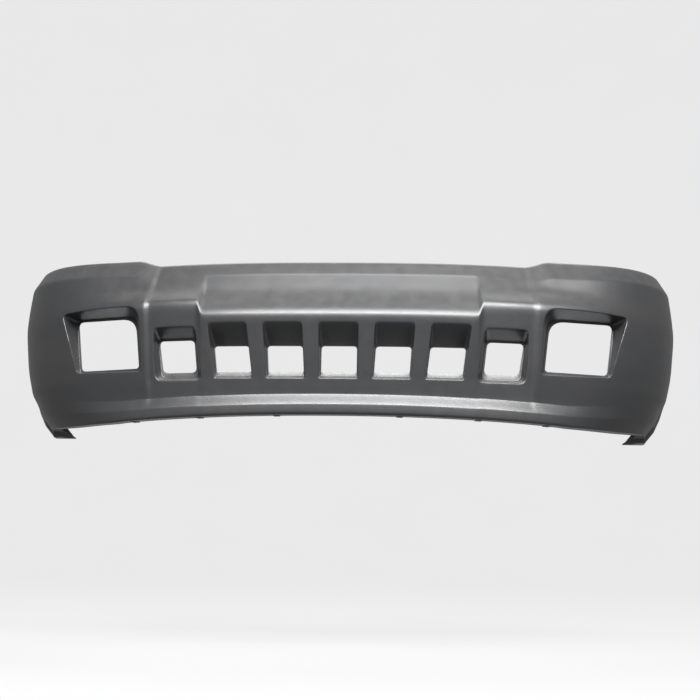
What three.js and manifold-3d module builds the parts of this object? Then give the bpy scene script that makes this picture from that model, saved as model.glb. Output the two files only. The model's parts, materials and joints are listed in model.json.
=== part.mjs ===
// Front bumper cover of a sport utility vehicle: one thin thermoplastic moulding with five central
// slots, two openings in raised pilasters and two fog-lamp openings, plus the strips, brackets,
// rivets, screws and clips that fasten it to the car.
//
// Millimetres. +X is to the right as seen from in front of the car, +Y to the rear, +Z up.
// The origin is the centre of the top flange's upper face.
import * as THREE from "three";
import { mergeVertices } from "three/addons/utils/BufferGeometryUtils.js";
import Module from "manifold-3d";

const wasm = await Module();
wasm.setup();

// ---------------------------------------------------------------- driving dimensions

const WALL = 3.2; // thickness of the moulding
const GAP = 0.3; // air between pieces that touch on the car
const HALF_WIDTH = 893; // centre line to the side face
const DEPTH = 470; // foremost point of the crest to the rear edge
const ROUNDNESS = 2.5; // exponent of the superellipse that the crest follows in plan
const ORIGIN_SETBACK = 90; // foremost point of the crest to the middle of the top flange

const PILASTER_INNER = 343; // where the central panel ends and the raised pilaster starts
const PILASTER_OUTER = 479; // where the pilaster ends and the wing starts
const STEP_WIDTH = 16; // width of the walls beside a pilaster
const SIDE_START = 520; // the wing's section starts to turn into the side's section
const SIDE_END = 800;

const WING_RISE = 16; // step up of the top edge from the centre to the wings
const WING_RISE_START = 474;
const WING_RISE_END = 540;
const WING_CLIMB = 20; // further climb of the top edge towards the rear
const BOTTOM = -385; // height of the bottom edge on the centre line
const BOTTOM_DROP = 17; // how much lower the bottom edge is at the ends of the front face
const BOTTOM_DROP_AT = 578;
const CORNER_LIFT = 12; // how much the bottom edge climbs again round the corner
const FOOT_DROP = 17; // how far the foot at the wheel arch reaches below that
const FOOT_START = 382; // depths between which the foot comes down
const FOOT_END = 404;

const TOP_FLANGE = { front: 36, side: 34 }; // widths
const BOTTOM_FLANGE = { front: 26, foot: 56 };
const TOP_CORNER = 5; // size of the rounded corner along the top edge

// The wheel arch, in the side view.
const ARCH = { y: 870, z: -350, radius: 440, flange: 54 };
const REAR_EDGE = DEPTH - 0.5; // where the side ends above the arch's curve
const BEYOND = 1000; // past the object on every side
const DRILL = 60; // long enough to pass through any stack of walls

// Outer face of the moulding in four places, from the top edge to the bottom edge, as
// [recession behind the crest, height]. Heights are measured from the top edge in rim, from the
// origin in face and from the bottom edge in sill.
const SECTIONS = {
  centre: {
    rim: [[70, 0], [54, -33], [52, -39]],
    face: [[35, -84], [23, -107], [14, -122], [7, -136], [3.5, -151], [25, -235], [40, -299]],
    sill: [[47, 50], [37, 25], [38, 5], [42, 0]],
  },
  pilaster: {
    rim: [[70, 0], [54, -33], [51, -39]],
    face: [[38, -66], [28, -83], [18.5, -97], [10.5, -109], [7.8, -124], [27, -235], [41, -302]],
    sill: [[47, 51], [37, 26], [38, 5], [42, 0]],
  },
  wing: {
    rim: [[66, 0], [44, -43], [41, -49]],
    face: [[30, -70], [16, -92], [8, -106], [4, -119], [4, -132], [22, -235], [36, -303]],
    sill: [[46, 52], [37, 26], [38, 5], [42, 0]],
  },
  side: {
    rim: [[34, 0], [10, -43], [8, -49]],
    face: [[4, -60], [2, -85], [1, -103], [0, -121], [1, -145], [12, -240], [27, -300]],
    sill: [[42, 64], [58, 31], [79, 6], [83, 0]],
  },
};

// Openings of the right half, as [x, height] corners in the order bottom inner, bottom outer, top
// outer, top inner. The walls run from the mouth to the back wall, which has a smaller hole.
// mouthDepth and depth are the mouth's and the back wall's depths behind the crest.
const SLOT = {
  pitch: 131,
  lean: 0.13, // how much further each slot's sides lean outwards than its neighbour's
  mouth: { width: 94, low: -302, high: -179 },
  back: { width: 90, low: -289, high: -212 },
  hole: { width: 86, low: -279, high: -214 },
  radii: [5, 5, 9, 9],
  mouthDepth: 24,
  depth: 66,
};
const PILASTER_POCKET = {
  mouth: [[326, -308], [457, -308], [457, -176], [353, -176]],
  back: [[345, -292], [441, -292], [455, -194], [357, -194]],
  hole: [[351, -279], [437, -279], [451, -198], [361, -198]],
  radii: [14, 16, 12, 12],
  centreX: 400,
  mouthDepth: 24,
  depth: 66,
};
const FOG_POCKET = {
  mouth: [[482, -282], [666, -276], [713, -123], [500, -120]],
  back: [[496, -273], [669, -271], [688, -129], [513, -133]],
  hole: [[501, -266], [664, -264], [683, -134], [518, -138]],
  radii: [10, 12, 16, 38],
  centreX: 600,
  mouthDepth: 18,
  depth: 64,
  rim: 18, // width of the mounting rim round the back of the pocket
};
const CORNER_STEPS = 3;
const ARCH_STEPS = 28;
const POCKET_FRONT = -40; // depth ahead of every mouth, where the pocket solids start
const POCKET_REACH = 150; // deeper than any pocket

const STRIP = { halfLength: 452, width: 24, thickness: 1.6, setback: 94 };
const RIVET = { head: 5.5, headHeight: 2.2, shank: 2.4, tail: 3.6, tailHeight: 2.6 };
const SCREW = { head: 5.2, headHeight: 3, shank: 2.2, length: 17 };
const CLIP_PIN = { head: 9, headHeight: 2.4, shank: 3.1, barb: 4.6, length: 21, barbs: 3 };
const HOLE_CLEARANCE = 0.5; // radial
const RIVET_PLACES = [80, 250, 420]; // distances of the strip's rivets from the centre line
const CLIP_PIN_PLACES = [165, 335];
const CLIP_NUT = {
  width: 15,
  reach: 21,
  leaf: 1,
  hole: 2.6,
  boss: 4.8,
  bossHeight: 4.5,
  holeInset: 12,
  bow: 1.3, // air between the edge and the bow
};
const LOWER_NUT_PLACES = [150, 345, 520];
const ARCH_NUT_HEIGHTS = [-35, -140, -212];
const FENDER_BRACKET = { from: 322, to: 456, inset: 4, leg: 15, drop: 34, thickness: 2.5 };
const FENDER_RIVETS = [0.14, 0.5, 0.86]; // shares of the bracket's length
const FOG_BRACKET = { thickness: 3, inner: 6, innerCorner: 14, outer: 22, outerCorner: 26 };
const FOG_SCREW_INSET = 14; // from the hole's edge out to the screws
// Each screw stands between two corners of that line: first corner, second corner, share of the way.
const FOG_SCREW_CORNERS = [[0, 1, 0.5], [2, 3, 0.08], [2, 3, 0.85]];
const ROUND_SIDES = 8;

// ---------------------------------------------------------------- materials

function coated(color, roughness, metalness) {
  return new THREE.MeshStandardMaterial({ color, roughness, metalness });
}

const fasciaPlastic = () => coated(0x55575a, 0.48, 0);
const bracketPlastic = () => coated(0x1d1e20, 0.6, 0);
const zincSteel = () => coated(0xb4b2a8, 0.38, 0.9);
const springSteel = () => coated(0x6b6a66, 0.45, 0.85);

// ---------------------------------------------------------------- solids

// A closed geometry as a manifold-3d solid, turned so that its faces point out.
function solid(geometry) {
  const bare = new THREE.BufferGeometry();
  bare.setAttribute("position", geometry.getAttribute("position").clone());
  if (geometry.index) bare.setIndex(geometry.index.clone());
  const merged = mergeVertices(bare, 1e-4);
  const vertProperties = new Float32Array(merged.getAttribute("position").array);
  const triVerts = new Uint32Array(merged.index.array);
  const made = new wasm.Manifold(new wasm.Mesh({ numProp: 3, vertProperties, triVerts }));
  if (made.volume() > 0) return made;
  return new wasm.Manifold(new wasm.Mesh({ numProp: 3, vertProperties, triVerts: triVerts.reverse() }));
}

function geometryOf(made) {
  const { vertProperties, triVerts } = made.getMesh();
  const geometry = new THREE.BufferGeometry();
  geometry.setAttribute("position", new THREE.BufferAttribute(vertProperties, 3));
  geometry.setIndex(new THREE.BufferAttribute(triVerts, 1));
  geometry.computeVertexNormals();
  return geometry;
}

const union = (solids) => solids.reduce((all, next) => all.add(next));

// A skin stretched over rings of equal point count, with both ends closed. Each ring is a list of
// Vector3, and outline is the first ring as Vector2, which says how the ends are triangulated.
function loft(rings, outline) {
  const count = outline.length;
  const positions = rings.flat().flatMap((point) => point.toArray());
  const index = [];
  for (let ring = 0; ring < rings.length - 1; ring += 1) {
    for (let i = 0; i < count; i += 1) {
      const a = ring * count + i;
      const b = ring * count + ((i + 1) % count);
      index.push(a, b, b + count, a, b + count, a + count);
    }
  }
  const last = (rings.length - 1) * count;
  for (const [a, b, c] of capTriangles(outline)) {
    index.push(a, c, b, last + a, last + b, last + c);
  }
  const geometry = new THREE.BufferGeometry();
  geometry.setAttribute("position", new THREE.Float32BufferAttribute(positions, 3));
  geometry.setIndex(index);
  return solid(geometry);
}

// Triangles that fill an outline, wound the way that the outline runs.
function capTriangles(outline) {
  const triangles = THREE.ShapeUtils.triangulateShape(outline, []);
  return THREE.ShapeUtils.isClockWise(outline) ? triangles.map(([a, b, c]) => [a, c, b]) : triangles;
}

function cylinder(radius, length, centre, axis) {
  const geometry = new THREE.CylinderGeometry(radius, radius, length, ROUND_SIDES);
  const turn = new THREE.Quaternion().setFromUnitVectors(new THREE.Vector3(0, 1, 0), axis);
  return solid(geometry.applyQuaternion(turn).translate(centre.x, centre.y, centre.z));
}

function box(size, centre) {
  return solid(new THREE.BoxGeometry(...size).translate(...centre));
}

// An outline in the side view, [y, z], extruded along X between two places.
function extrudeAcross(shape, fromX, toX) {
  const settings = { depth: toX - fromX, bevelEnabled: false, curveSegments: ARCH_STEPS };
  const geometry = new THREE.ExtrudeGeometry(shape, settings);
  const [x, y, z] = [new THREE.Vector3(1, 0, 0), new THREE.Vector3(0, 1, 0), new THREE.Vector3(0, 0, 1)];
  geometry.applyMatrix4(new THREE.Matrix4().makeBasis(y, z, x));
  return solid(geometry.translate(fromX, 0, 0));
}

// ---------------------------------------------------------------- the face's geometry

const smooth = THREE.MathUtils.smoothstep;
const mix = THREE.MathUtils.lerp;

// A point of the crest in plan, with the face's outward direction there. y is the depth behind
// the foremost point of the crest.
function planPoint(x, y) {
  const across = (Math.sign(x) * (Math.abs(x) / HALF_WIDTH) ** (ROUNDNESS - 1)) / HALF_WIDTH;
  const forward = -((1 - y / DEPTH) ** (ROUNDNESS - 1)) / DEPTH;
  const length = Math.hypot(across, forward);
  return { x, y, nx: across / length, ny: forward / length };
}

function planAtX(x) {
  const fore = (1 - (Math.abs(x) / HALF_WIDTH) ** ROUNDNESS) ** (1 / ROUNDNESS);
  return planPoint(x, DEPTH * (1 - fore));
}

function planAtDepth(y, side) {
  const across = (1 - (1 - y / DEPTH) ** ROUNDNESS) ** (1 / ROUNDNESS);
  return planPoint(side * HALF_WIDTH * across, y);
}

// A place in space, from a point of the crest in plan, a recession behind it and a height.
function place(plan, recession, height) {
  return new THREE.Vector3(
    plan.x - plan.nx * recession,
    plan.y - plan.ny * recession - ORIGIN_SETBACK,
    height,
  );
}

function topHeight(plan) {
  const step = smooth(Math.abs(plan.x), WING_RISE_START, WING_RISE_END);
  const start = planAtX(WING_RISE_END).y;
  const climb = Math.max(0, plan.y - start) / (DEPTH - start);
  return WING_RISE * step + WING_CLIMB * climb;
}

function bottomHeight(plan) {
  const across = Math.min(Math.abs(plan.x), BOTTOM_DROP_AT) / BOTTOM_DROP_AT;
  const start = planAtX(BOTTOM_DROP_AT).y;
  const lift = CORNER_LIFT * smooth(plan.y, start, FOOT_START);
  const foot = FOOT_DROP * smooth(plan.y, FOOT_START, FOOT_END);
  return BOTTOM - BOTTOM_DROP * across ** 2 + lift - foot;
}

const mixKnots = (from, to, share) =>
  from.map(([r, z], i) => [mix(r, to[i][0], share), mix(z, to[i][1], share)]);

// The outer face at one place in plan, from the top edge to the bottom edge.
function facePoints(plan) {
  const across = Math.abs(plan.x);
  const half = STEP_WIDTH / 2;
  const shares = [
    [SECTIONS.pilaster, smooth(across, PILASTER_INNER - half, PILASTER_INNER + half)],
    [SECTIONS.wing, smooth(across, PILASTER_OUTER - half, PILASTER_OUTER + half)],
    [SECTIONS.side, smooth(across, SIDE_START, SIDE_END)],
  ];
  const part = (name) =>
    shares.reduce((knots, [section, share]) => mixKnots(knots, section[name], share), SECTIONS.centre[name]);
  const raise = (knots, height) => knots.map(([r, z]) => [r, z + height]);
  const rim = raise(part("rim"), topHeight(plan));
  const sill = raise(part("sill"), bottomHeight(plan));
  return [...rim, ...part("face"), ...sill];
}

// The outer face with the top and bottom flanges that turn back from it.
function skinPoints(plan) {
  const [top, ...rest] = facePoints(plan);
  const bottom = rest[rest.length - 1];
  const aside = smooth(Math.abs(plan.x), SIDE_START, SIDE_END);
  const topWidth = mix(TOP_FLANGE.front, TOP_FLANGE.side, aside);
  const bottomWidth = mix(BOTTOM_FLANGE.front, BOTTOM_FLANGE.foot, smooth(plan.y, FOOT_START, FOOT_END));
  return [
    [top[0] + topWidth, top[1]],
    [top[0] + TOP_CORNER, top[1]],
    [top[0] - TOP_CORNER / 3, top[1] - TOP_CORNER],
    ...rest,
    [bottom[0] + bottomWidth, bottom[1]],
  ];
}

// The points of an open line moved to its inner side by a distance, with mitred corners.
function offsetLine(points, distance) {
  const normals = points.slice(1).map(([r, z], i) => {
    const run = [r - points[i][0], z - points[i][1]];
    const length = Math.hypot(...run);
    return [-run[1] / length, run[0] / length];
  });
  return points.map(([r, z], i) => {
    const a = normals[Math.max(0, i - 1)];
    const b = normals[Math.min(normals.length - 1, i)];
    const scale = distance / (1 + a[0] * b[0] + a[1] * b[1]);
    return [r + (a[0] + b[0]) * scale, z + (a[1] + b[1]) * scale];
  });
}

// Places in plan where the sections stand, on the right half.
function halfPlan() {
  const half = STEP_WIDTH / 2;
  const steps = [PILASTER_INNER, PILASTER_OUTER].flatMap((x) => [x - half, x, x + half]);
  const front = [65, 195, 270, ...steps, 415, 510, WING_RISE_END, 590, 640, 690, 740];
  const depths = [180, 230, 280, 330, FOOT_START, FOOT_END, 437, DEPTH];
  return [...front.sort((a, b) => a - b).map(planAtX), ...depths.map((y) => planAtDepth(y, 1))];
}

function wholePlan() {
  const right = halfPlan();
  const left = right.map((plan) => ({ ...plan, x: -plan.x, nx: -plan.nx })).reverse();
  return [...left, planAtX(0), ...right];
}

// A solid whose cross-section at each place in plan is the closed outline that section(plan) gives.
function sweep(plans, section) {
  const outline = section(plans[0]).map(([r, z]) => new THREE.Vector2(r, z));
  return loft(
    plans.map((plan) => section(plan).map(([r, z]) => place(plan, r, z))),
    outline,
  );
}

const shell = () =>
  sweep(wholePlan(), (plan) => {
    const outer = skinPoints(plan);
    return [...outer, ...offsetLine(outer, WALL).reverse()];
  });

// The region behind the outer face, between two depths.
const behindFace = (near, far) =>
  sweep(wholePlan(), (plan) => {
    const outer = facePoints(plan);
    return [...outer.map(([r, z]) => [r + near, z]), ...outer.map(([r, z]) => [r + far, z]).reverse()];
  });

// ---------------------------------------------------------------- pockets

// A convex outline moved outwards by a distance.
function growOutline(corners, distance) {
  return corners.map(([x, z], i) => {
    const before = corners[(i + corners.length - 1) % corners.length];
    const after = corners[(i + 1) % corners.length];
    const out = ([ax, az], [bx, bz]) => {
      const length = Math.hypot(bx - ax, bz - az);
      return [(bz - az) / length, -(bx - ax) / length];
    };
    const a = out(before, [x, z]);
    const b = out([x, z], after);
    const scale = distance / (1 + a[0] * b[0] + a[1] * b[1]);
    return [x + (a[0] + b[0]) * scale, z + (a[1] + b[1]) * scale];
  });
}

// The outline with each corner rounded by an arc-like curve.
function roundOutline(corners, radii) {
  return corners.flatMap((corner, i) => {
    const here = new THREE.Vector2(...corner);
    const ends = [corners.length - 1, 1].map((step) => {
      const other = new THREE.Vector2(...corners[(i + step) % corners.length]);
      return other.sub(here).setLength(radii[i]).add(here);
    });
    const curve = new THREE.QuadraticBezierCurve(ends[0], here, ends[1]);
    return curve.getPoints(CORNER_STEPS);
  });
}

// Pockets are cut straight back. A pocket's planes follow the chord of the crest behind its mouth.
function chordPlane(centreX) {
  const plan = planAtX(centreX);
  const slope = -plan.nx / plan.ny;
  return (x, depth) => plan.y + slope * (x - centreX) + depth - ORIGIN_SETBACK;
}

// The tapering prism between two outlines, which lie on the pocket's planes at two depths.
function taperedPrism(plane, from, to, depths) {
  const ring = (outline, depth) => outline.map(({ x, y: z }) => new THREE.Vector3(x, plane(x, depth), z));
  return loft([ring(from, depths[0]), ring(to, depths[1])], from);
}

// The walls of a pocket run on forwards past the face by the same slopes, and are trimmed to it later.
function pocketSolids({ centreX, mouth, back, hole, radii, mouthDepth, depth, rim }) {
  const plane = chordPlane(centreX);
  const ahead = mouth.map(([x, z], i) => {
    const run = (mouthDepth - POCKET_FRONT) / (depth - mouthDepth);
    return [x + (x - back[i][0]) * run, z + (z - back[i][1]) * run];
  });
  const round = (outline, extra) => roundOutline(outline, radii.map((radius) => radius + extra));
  const inside = taperedPrism(plane, round(ahead, 0), round(back, 0), [POCKET_FRONT, depth]);
  const throughHole = taperedPrism(plane, round(hole, 0), round(hole, 0), [depth - WALL, depth + 2 * WALL]);
  const walls = taperedPrism(
    plane,
    round(growOutline(ahead, WALL), WALL),
    round(growOutline(back, WALL), WALL),
    [POCKET_FRONT, depth + WALL],
  );
  const parts = [walls];
  if (rim) {
    const plate = round(growOutline(back, rim), rim);
    parts.push(taperedPrism(plane, plate, plate, [depth, depth + WALL]));
  }
  return { walls: union(parts), inside: inside.add(throughHole), plane };
}

const mirrorCorners = (corners) => [1, 0, 3, 2].map((i) => [-corners[i][0], corners[i][1]]);
const mirrorRadii = (radii) => [1, 0, 3, 2].map((i) => radii[i]);

function slotPocket(number) {
  const centreX = number * SLOT.pitch;
  const lean = (SLOT.lean * number) / 2;
  const middle = (SLOT.mouth.low + SLOT.mouth.high) / 2;
  const corners = ({ width, low, high }) =>
    [[-1, low], [1, low], [1, high], [-1, high]].map(([side, z]) => [
      centreX + (side * width) / 2 + lean * (z - middle),
      z,
    ]);
  const [mouth, back, hole] = [SLOT.mouth, SLOT.back, SLOT.hole].map(corners);
  return { ...SLOT, centreX, mouth, back, hole };
}

// A pocket of the right half, or its mirror image on the left.
function onSide(pocket, side) {
  if (side > 0) return pocket;
  return {
    ...pocket,
    centreX: -pocket.centreX,
    mouth: mirrorCorners(pocket.mouth),
    back: mirrorCorners(pocket.back),
    hole: mirrorCorners(pocket.hole),
    radii: mirrorRadii(pocket.radii),
  };
}

// ---------------------------------------------------------------- holes and places for hardware

const UP = new THREE.Vector3(0, 0, 1);

// A place on the top flange's upper face, at a distance along X.
function onTopFlange(x, recession) {
  const plan = planAtX(x);
  return place(plan, recession, topHeight(plan));
}

const overStrip = (distances) =>
  [-1, 1].flatMap((side) => distances.map((x) => onTopFlange(side * x, STRIP.setback)));
const stripRivetPlaces = overStrip(RIVET_PLACES);
const clipPinPlaces = overStrip(CLIP_PIN_PLACES);

// The free edge of the bottom flange's lower face, at a distance along X.
function bottomFlangeEdge(x) {
  const plan = planAtX(x);
  const points = skinPoints(plan);
  const [recession, height] = points[points.length - 1];
  return place(plan, recession, height);
}

// Nuts on the bottom flange. The nut's own y runs from the flange's free edge to the front, and its
// own z runs down, so that its boss stands on top of the flange.
function lowerNutPlace(x) {
  const at = bottomFlangeEdge(x);
  const along = bottomFlangeEdge(x + 5).sub(bottomFlangeEdge(x - 5)).normalize();
  const plan = planAtX(x);
  const forward = new THREE.Vector3(plan.nx, plan.ny, 0);
  const down = new THREE.Vector3().crossVectors(along, forward).normalize();
  const across = new THREE.Vector3().crossVectors(forward, down);
  const basis = new THREE.Matrix4().makeBasis(across, forward, down);
  return { at, turn: new THREE.Quaternion().setFromRotationMatrix(basis) };
}

const lowerNutPlaces = LOWER_NUT_PLACES.flatMap((x) => [lowerNutPlace(-x), lowerNutPlace(x)]);

// Depth of the wheel arch's edge at a height, in the assembly's frame.
function archDepth(height) {
  const onArc = ARCH.y - Math.sqrt(Math.max(0, ARCH.radius ** 2 - (height - ARCH.z) ** 2));
  return Math.min(REAR_EDGE, onArc) - ORIGIN_SETBACK;
}

// Nuts on the wheel arch's flange. The nut's own y runs outwards, from the flange's free edge to
// the side face, and its own z runs to the rear.
function archNutPlaces(side) {
  return ARCH_NUT_HEIGHTS.map((height) => {
    const y = archDepth(height);
    const plan = planAtDepth(y + ORIGIN_SETBACK, side);
    const x = plan.x - side * (sideRecession(height) + ARCH.flange);
    const slope = Math.atan2(archDepth(height + 5) - archDepth(height - 5), 10);
    const rear = new THREE.Vector3(0, Math.cos(slope), -Math.sin(slope));
    const outwards = new THREE.Vector3(side, 0, 0);
    const along = new THREE.Vector3().crossVectors(outwards, rear);
    const basis = new THREE.Matrix4().makeBasis(along, outwards, rear);
    return { at: new THREE.Vector3(x, y, height), turn: new THREE.Quaternion().setFromRotationMatrix(basis) };
  });
}

// Recession of the side's face at a height.
function sideRecession(height) {
  const points = facePoints(planAtDepth(DEPTH - 20, 1));
  const i = points.findIndex(([, z]) => z < height);
  const [[r0, z0], [r1, z1]] = [points[i - 1], points[i]];
  return mix(r0, r1, (z0 - height) / (z0 - z1));
}

// The plane, hole and depth of a fog-lamp pocket's back wall.
function fogMounting(side) {
  const pocket = onSide(FOG_POCKET, side);
  return { plane: chordPlane(pocket.centreX), hole: pocket.hole, depth: pocket.depth, centreX: pocket.centreX };
}

// Screws through the fog-lamp bracket into the moulding's rim, with their heads to the rear.
function fogScrewPlaces(side) {
  const { plane, hole, depth, centreX } = fogMounting(side);
  const corners = growOutline(hole, FOG_SCREW_INSET);
  const plan = planAtX(centreX);
  const axis = new THREE.Vector3(-plan.nx, -plan.ny, 0).normalize();
  const behind = depth + WALL + GAP + FOG_BRACKET.thickness;
  return FOG_SCREW_CORNERS.map(([first, second, share]) => {
    const x = mix(corners[first][0], corners[second][0], share);
    const z = mix(corners[first][1], corners[second][1], share);
    return { at: new THREE.Vector3(x, plane(x, behind), z), axis };
  });
}

const fogScrewHoles = (side) =>
  fogScrewPlaces(side).map(({ at, axis }) => cylinder(SCREW.shank + HOLE_CLEARANCE, DRILL, at, axis));

// A fender bracket's place: its level leg lies under the side's top flange.
function fenderPlace(side) {
  const recession = SECTIONS.side.rim[0][0] + TOP_FLANGE.side - FENDER_BRACKET.inset;
  const [from, to] = [FENDER_BRACKET.from, FENDER_BRACKET.to].map((y) => {
    const plan = planAtDepth(y, side);
    return place(plan, recession, topHeight(plan) - WALL - GAP);
  });
  const along = to.clone().sub(from);
  const length = along.length();
  along.normalize();
  const outwards = new THREE.Vector3(along.y * side, -along.x * side, 0).normalize();
  const up = new THREE.Vector3().crossVectors(outwards.clone().multiplyScalar(side), along);
  const basis = new THREE.Matrix4().makeBasis(outwards.multiplyScalar(side), along, up);
  const turn = new THREE.Quaternion().setFromRotationMatrix(basis);
  return { at: from, turn, length, rivets: FENDER_RIVETS.map((share) => share * length) };
}

function fenderRivet(y, side) {
  return new THREE.Vector3((side * (FENDER_BRACKET.leg + FENDER_BRACKET.thickness)) / 2, y, 0);
}

const fenderStack = WALL + GAP + FENDER_BRACKET.thickness;

// The region behind the wheel arch's edge, in the side view, moved forwards by a distance.
function archShape(forward) {
  const { y, z, radius } = ARCH;
  const corner = Math.acos((y - REAR_EDGE) / radius);
  const shift = -ORIGIN_SETBACK - forward;
  const shape = new THREE.Shape();
  shape.moveTo(REAR_EDGE + shift, BEYOND);
  shape.lineTo(REAR_EDGE + shift, z + radius * Math.sin(corner));
  shape.absarc(y + shift, z, radius, Math.PI - corner, Math.PI * 1.5, false);
  shape.lineTo(BEYOND, z - radius);
  shape.lineTo(BEYOND, BEYOND);
  return shape;
}

// ---------------------------------------------------------------- the moulding

function fasciaSkin() {
  let body = shell();
  const arch = (forward) => extrudeAcross(archShape(forward), -BEYOND, BEYOND);
  const archFlange = arch(WALL).subtract(arch(0)).intersect(behindFace(0, ARCH.flange));
  body = body.subtract(arch(0)).add(archFlange);
  const slots = [-2, -1, 0, 1, 2].map(slotPocket);
  const sides = [-1, 1].flatMap((side) => [onSide(PILASTER_POCKET, side), onSide(FOG_POCKET, side)]);
  const pockets = [...slots, ...sides].map(pocketSolids);
  const behind = behindFace(WALL / 2, POCKET_REACH);
  for (const { walls, inside } of pockets) {
    body = body.subtract(inside).add(walls.intersect(behind).subtract(inside));
  }
  return body.subtract(fastenerHoles());
}

function fastenerHoles() {
  const through = (at, radius) => cylinder(radius + HOLE_CLEARANCE, 4 * WALL, at, UP);
  const top = stripRivetPlaces.map((at) => through(at, RIVET.shank));
  const pins = clipPinPlaces.map((at) => through(at, CLIP_PIN.barb));
  const inset = new THREE.Vector3(0, CLIP_NUT.holeInset, 0);
  const lower = lowerNutPlaces.map(({ at, turn }) => {
    const centre = inset.clone().applyQuaternion(turn).add(at);
    return cylinder(CLIP_NUT.hole + HOLE_CLEARANCE, 4 * WALL, centre, UP);
  });
  const sides = [-1, 1].flatMap((side) => {
    const arch = archNutPlaces(side).map(({ at, turn }) => {
      const centre = inset.clone().applyQuaternion(turn).add(at);
      return cylinder(CLIP_NUT.hole + HOLE_CLEARANCE, 4 * WALL, centre, UP.clone().applyQuaternion(turn));
    });
    const fog = fogScrewHoles(side);
    const { at, turn, rivets } = fenderPlace(side);
    const fender = rivets.map((y) => through(fenderRivet(y, side).applyQuaternion(turn).add(at), RIVET.shank));
    return [...arch, ...fog, ...fender];
  });
  return union([...top, ...pins, ...lower, ...sides]);
}

// ---------------------------------------------------------------- hardware

// Steel strip under the top flange.
function supportStrip() {
  const plans = [];
  for (let i = -8; i <= 8; i += 1) plans.push(planAtX((i / 8) * STRIP.halfLength));
  const top = -WALL - GAP;
  const strip = sweep(plans, () => [
    [STRIP.setback - STRIP.width / 2, top],
    [STRIP.setback + STRIP.width / 2, top],
    [STRIP.setback + STRIP.width / 2, top - STRIP.thickness],
    [STRIP.setback - STRIP.width / 2, top - STRIP.thickness],
  ]);
  const holes = [
    ...stripRivetPlaces.map((at) => cylinder(RIVET.shank + HOLE_CLEARANCE, 8 * WALL, at, UP)),
    ...clipPinPlaces.map((at) => cylinder(CLIP_PIN.barb + HOLE_CLEARANCE, 8 * WALL, at, UP)),
  ];
  return strip.subtract(union(holes));
}

const turned = (profile) =>
  new THREE.LatheGeometry(profile.map(([r, z]) => new THREE.Vector2(r, z)), ROUND_SIDES).rotateX(Math.PI / 2);

// Blind rivet: its head rests on the outer face at z = 0, and its tail is under a stack.
function rivetGeometry(stack) {
  const { head, headHeight, shank, tail, tailHeight } = RIVET;
  const under = -stack - GAP;
  return turned([
    [0, under - tailHeight],
    [tail * 0.8, under - tailHeight],
    [tail, under - tailHeight / 2],
    [tail, under],
    [shank, under],
    [shank, GAP],
    [head, GAP],
    [head * 0.75, GAP + headHeight * 0.75],
    [0, GAP + headHeight],
  ]);
}

// One-piece clip with a round head and a barbed shank.
function clipPinGeometry() {
  const { head, headHeight, shank, barb, length, barbs } = CLIP_PIN;
  const start = -WALL - GAP - STRIP.thickness - 1;
  const pitch = (length + start) / barbs;
  const profile = [[0, -length]];
  for (let i = barbs; i > 0; i -= 1) {
    const low = start - i * pitch;
    profile.push([shank, low + 0.1], [barb - GAP, low + pitch * 0.75], [shank, low + pitch * 0.85]);
  }
  const top = GAP + headHeight;
  profile.push([shank, GAP], [head, GAP], [head, GAP + headHeight * 0.5], [head * 0.7, top], [0, top]);
  return turned(profile);
}

function screwGeometry() {
  const { head, headHeight, shank, length } = SCREW;
  return turned([
    [0, -length],
    [shank, -length + 3],
    [shank, GAP],
    [head, GAP],
    [head * 0.85, GAP + headHeight],
    [0, GAP + headHeight],
  ]);
}

// Spring-steel nut that clips over an edge: two leaves joined by a bow at y = 0, open towards +y,
// with its threaded boss under the lower leaf. The edge lies between z = 0 and z = -WALL.
function clipNut() {
  const { width, reach, leaf, hole, boss, bossHeight, holeInset } = CLIP_NUT;
  const low = -WALL - GAP;
  const bow = -CLIP_NUT.bow - leaf;
  const leaves = [
    box([width, reach, leaf], [0, bow + reach / 2, GAP + leaf / 2]),
    box([width, reach, leaf], [0, bow + reach / 2, low - leaf / 2]),
    box([width, leaf, WALL + 2 * GAP + leaf], [0, bow + leaf / 2, -WALL / 2]),
    cylinder(boss, bossHeight + leaf, { x: 0, y: holeInset, z: low - (bossHeight + leaf) / 2 }, UP),
  ];
  const bore = cylinder(hole, 8 * WALL, { x: 0, y: holeInset, z: 0 }, UP);
  return union(leaves).subtract(bore);
}

// A straight angle of moulded plastic under the side's top flange. Its own frame has the angle
// along y, from 0 to its length, the level leg towards the outside and the upright leg at x = 0.
function fenderBracket(length, side) {
  const { leg, drop, thickness } = FENDER_BRACKET;
  const shape = new THREE.Shape();
  shape.moveTo(0, 0);
  shape.lineTo(side * leg, 0);
  shape.lineTo(side * leg, -thickness);
  shape.lineTo(side * thickness, -thickness);
  shape.lineTo(side * thickness, -drop);
  shape.lineTo(0, -drop);
  const angle = new THREE.ExtrudeGeometry(shape, { depth: length, bevelEnabled: false });
  return solid(angle.rotateX(Math.PI / 2).translate(0, length, 0));
}

// Flat ring behind a fog-lamp opening, with a screw at each of three corners.
function fogBracket(side) {
  const { plane, hole, depth } = fogMounting(side);
  const from = depth + WALL + GAP;
  const prism = (grow, corner, depths) => {
    const outline = roundOutline(growOutline(hole, grow), Array(4).fill(corner));
    return taperedPrism(plane, outline, outline, depths);
  };
  const plate = prism(FOG_BRACKET.outer, FOG_BRACKET.outerCorner, [from, from + FOG_BRACKET.thickness]);
  const opening = prism(FOG_BRACKET.inner, FOG_BRACKET.innerCorner, [depth, from + DRILL]);
  return plate.subtract(opening).subtract(union(fogScrewHoles(side)));
}

// ---------------------------------------------------------------- the assembly

const cover = new THREE.Group();

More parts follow.
